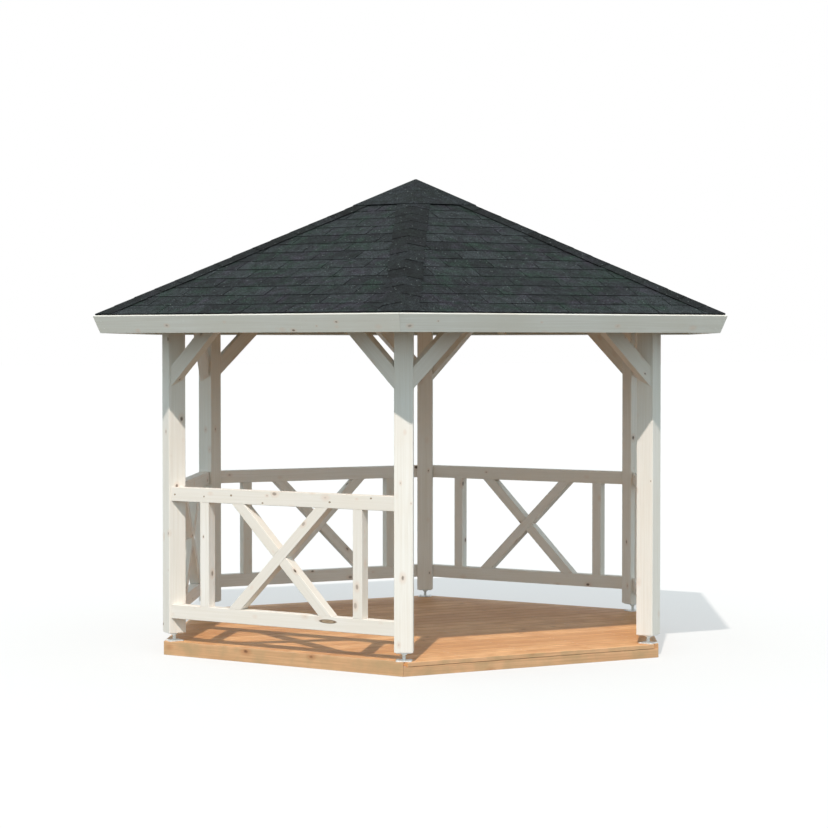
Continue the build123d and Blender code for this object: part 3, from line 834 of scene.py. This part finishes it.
# how far from the middle of its bay a brace meets the post
braceEnd = postRing / 2 - (braceScrew["postGap"] - (bayOuter - postRing * cos30) / 2) / cos30
up = Vector((0, 0, 1))
places = []
for angle in bayAngles.values():
    out, side = levelDirections(angle)
    for hand in (side, -side):
        under = (-hand - up).normalized()
        turn = facing(out, out.cross(under), under)
        for climb in (braceScrew["fromEnd"], braceHigh - braceLow - braceScrew["fromEnd"]):
            for shift in (-braceScrew["apart"] / 2, braceScrew["apart"] / 2):
                middle = out * ((bayInner + bayOuter) / 2 + shift)
                place = middle + hand * (braceEnd - climb) + up * (braceLow + climb)
                places.append(Matrix.Translation(place) @ turn)
finishPiece(placeCopies(screwModel, "braceScrews", places), zinc, "galvanised_steel")
print("brace screws set:", len(places))

# fascia screws: two into the end of each rafter behind the board
fasciaScrew = dict(lean=math.radians(22), rows=(0.034, 0.084), jack=0.45, hipInset=0.05)
places = []
for angle in bayAngles.values():
    out, side = levelDirections(angle)
    normal = out * math.cos(fasciaScrew["lean"]) - up * math.sin(fasciaScrew["lean"])
    turn = facing(side, normal.cross(side), normal)
    for row in fasciaScrew["rows"]:
        apothem = eaveApothem - row * math.sin(fasciaScrew["lean"])
        height = peakZ - eaveApothem * math.tan(roof["pitch"]) - row * math.cos(fasciaScrew["lean"])
        corner = apothem * tan30 - fasciaScrew["hipInset"]
        for along in (-corner, -fasciaScrew["jack"], fasciaScrew["jack"], corner):
            places.append(Matrix.Translation(out * apothem + side * along + up * height) @ turn)
finishPiece(placeCopies(screwModel, "fasciaScrews", places), zinc, "galvanised_steel")
bpy.data.objects.remove(screwModel)
print("fascia screws set:", len(places))

# the large knots of the southwest bay's rails: place along the bay, height, half length and half height
railKnots = dict(bay=210, proud=0.0003, rings=4, ringStep=0.2,
                 shapes=((0.375, 0.305, 0.072, 0.0135), (-0.84, 1.06, 0.007, 0.006),
                         (-0.60, 1.055, 0.006, 0.006), (-0.38, 1.07, 0.008, 0.007),
                         (-0.13, 1.03, 0.008, 0.005), (0.39, 1.055, 0.009, 0.006),
                         (0.70, 1.09, 0.008, 0.006)),
                 shades=((0.0, "#8d775c"), (1.0, "#d5cabb"), (0.55, "#a8947b"), (0.8, "#5a4531")))


def knotWood(name, look):
    # a loose knot: dark bark round its rim, brown rings inside
    material, tree = newTree(name)
    reach = addNode(tree, "Attribute", attribute_name="tone").outputs["Fac"]
    stops = [(place, linear(colour)) for place, colour in look["shades"]]
    wood = addNode(tree, "ValToRGB", {"Fac": reach}, stops=stops)
    shader = addNode(tree, "BsdfPrincipled", {"Base Color": wood.outputs[0], "Roughness": 0.7})
    addNode(tree, "OutputMaterial", {"Surface": shader.outputs[0]})
    return material


def modelRailKnot():
    # a flat disc of rings, its tone the reach from its middle
    bpy.ops.object.select_all(action="DESELECT")
    bpy.ops.mesh.primitive_circle_add(vertices=20, radius=1, fill_type="NGON")
    knot = bpy.context.object
    pick(knot, "FACE", lambda middle, normal: True)
    for ring in range(railKnots["rings"]):
        bpy.ops.mesh.inset(thickness=railKnots["ringStep"])
    bpy.ops.mesh.poke()
    endEdit()
    tone = knot.data.attributes.new("tone", "FLOAT", "POINT")
    for vertex in knot.data.vertices:
        tone.data[vertex.index].value = vertex.co.length
    return knot


out, side = levelDirections(railKnots["bay"])
turn = facing(side, up, out)
places = []
for along, height, half, low in railKnots["shapes"]:
    place = out * (bayOuter + railKnots["proud"]) + side * along + up * height
    places.append(Matrix.Translation(place) @ turn @ Matrix.Diagonal((half, low, 1, 1)))
knotModel = modelRailKnot()
finishPiece(placeCopies(knotModel, "railKnots", places), knotWood("looseKnot", railKnots), "railing_wood")
bpy.data.objects.remove(knotModel)
print("knots set:", len(places))

# feet: plate, threaded rod, nut and head plate, on the deck under the middle of each post
foot = dict(plate=0.100, plateThick=0.005, corner=0.010, plateEdge=0.0006, height=0.058, clear=0.0002,
            head=0.096, headThick=0.006, headEdge=0.0008, sharp=math.radians(60),
            rod=0.022, thread=0.003, root=0.88,
            nut=0.034, nutHeight=0.013, nutEdge=0.0012, nutFace=0.0025,
            screw=0.005, screwPlace=0.036, screwHeight=0.0024, screwDome=0.0008, screwDrive=0.0014)


def modelFootScrew(x, y):
    # a round-headed screw seen from above, with its drive
    low, radius = foot["plateThick"], foot["screw"]
    bolt = addRod("footScrew", 12, radius, low, low + foot["screwHeight"], (x, y))
    pick(bolt, "FACE", lambda middle, normal: normal.z > 0.9)
    bpy.ops.mesh.inset(thickness=radius * 0.25)
    bpy.ops.transform.translate(value=(0, 0, foot["screwDome"]))
    bpy.ops.mesh.inset(thickness=radius * 0.3)
    bpy.ops.transform.translate(value=(0, 0, -foot["screwDrive"]))
    endEdit()
    return bolt


def modelFoot():
    half = foot["plate"] / 2
    plate = addBlock("footPlate", (-half, -half, 0), (half, half, foot["plateThick"]))
    pick(plate, "EDGE", lambda middle, along: abs(along.z) > 0.9)
    bpy.ops.mesh.bevel(offset=foot["corner"], segments=4)
    endEdit()
    applyModifier(plate, "BEVEL", width=foot["plateEdge"], segments=1,
                  limit_method="ANGLE", angle_limit=foot["sharp"])
    headFoot = foot["height"] - foot["headThick"]
    half = foot["head"] / 2
    head = addBlock("footHead", (-half, -half, headFoot), (half, half, foot["height"] - foot["clear"]))
    applyModifier(head, "BEVEL", width=foot["headEdge"], segments=2,
                  limit_method="ANGLE", angle_limit=foot["sharp"])
    # the thread: rings extruded up half a turn at a time, narrowed to its root and widened again by turns
    halfTurn = foot["thread"] / 2
    rod = addRod("footRod", 20, foot["rod"] / 2, foot["plateThick"] - halfTurn / 2,
                 foot["plateThick"] + halfTurn / 2, ends="NOTHING")
    turns = int((headFoot - foot["plateThick"]) / foot["thread"])
    pick(rod, "EDGE", lambda middle, along: middle.z > foot["plateThick"] and abs(along.z) < 0.1)
    for ring in range(2 * turns - 1):
        width = foot["root"] if ring % 2 == 0 else 1 / foot["root"]
        bpy.ops.mesh.extrude_region_move(TRANSFORM_OT_translate={"value": (0, 0, halfTurn)})
        bpy.ops.transform.resize(value=(width, width, 1), center_override=(0, 0, 0))
    endEdit()
    nut = addRod("footNut", 6, foot["nut"] / 2 / cos30, headFoot - foot["nutHeight"], headFoot)
    pick(nut, "FACE", lambda middle, normal: abs(normal.z) > 0.9)
    bpy.ops.mesh.inset(thickness=foot["nutFace"])
    endEdit()
    pick(nut, "VERT", lambda co: co.to_2d().length > foot["nut"] / 2)
    bpy.ops.mesh.bevel(offset=foot["nutEdge"], affect="EDGES")
    endEdit()
    sides = (foot["screwPlace"], -foot["screwPlace"])
    screws = [modelFootScrew(x, y) for x in sides for y in sides]
    whole = joinPieces([plate, head, rod, nut] + screws, "foot")
    smoothPiece(whole)
    return whole


footModel = modelFoot()
places = [Matrix.Rotation(math.radians(angle), 4, "Z") @ Matrix.Translation((postRing, 0, deckTop))
          for angle in cornerAngles.values()]
finishPiece(placeCopies(footModel, "postFeetSteel", places), zinc, "galvanised_steel", "post_feet")
bpy.data.objects.remove(footModel)
print("feet set:", len(places))
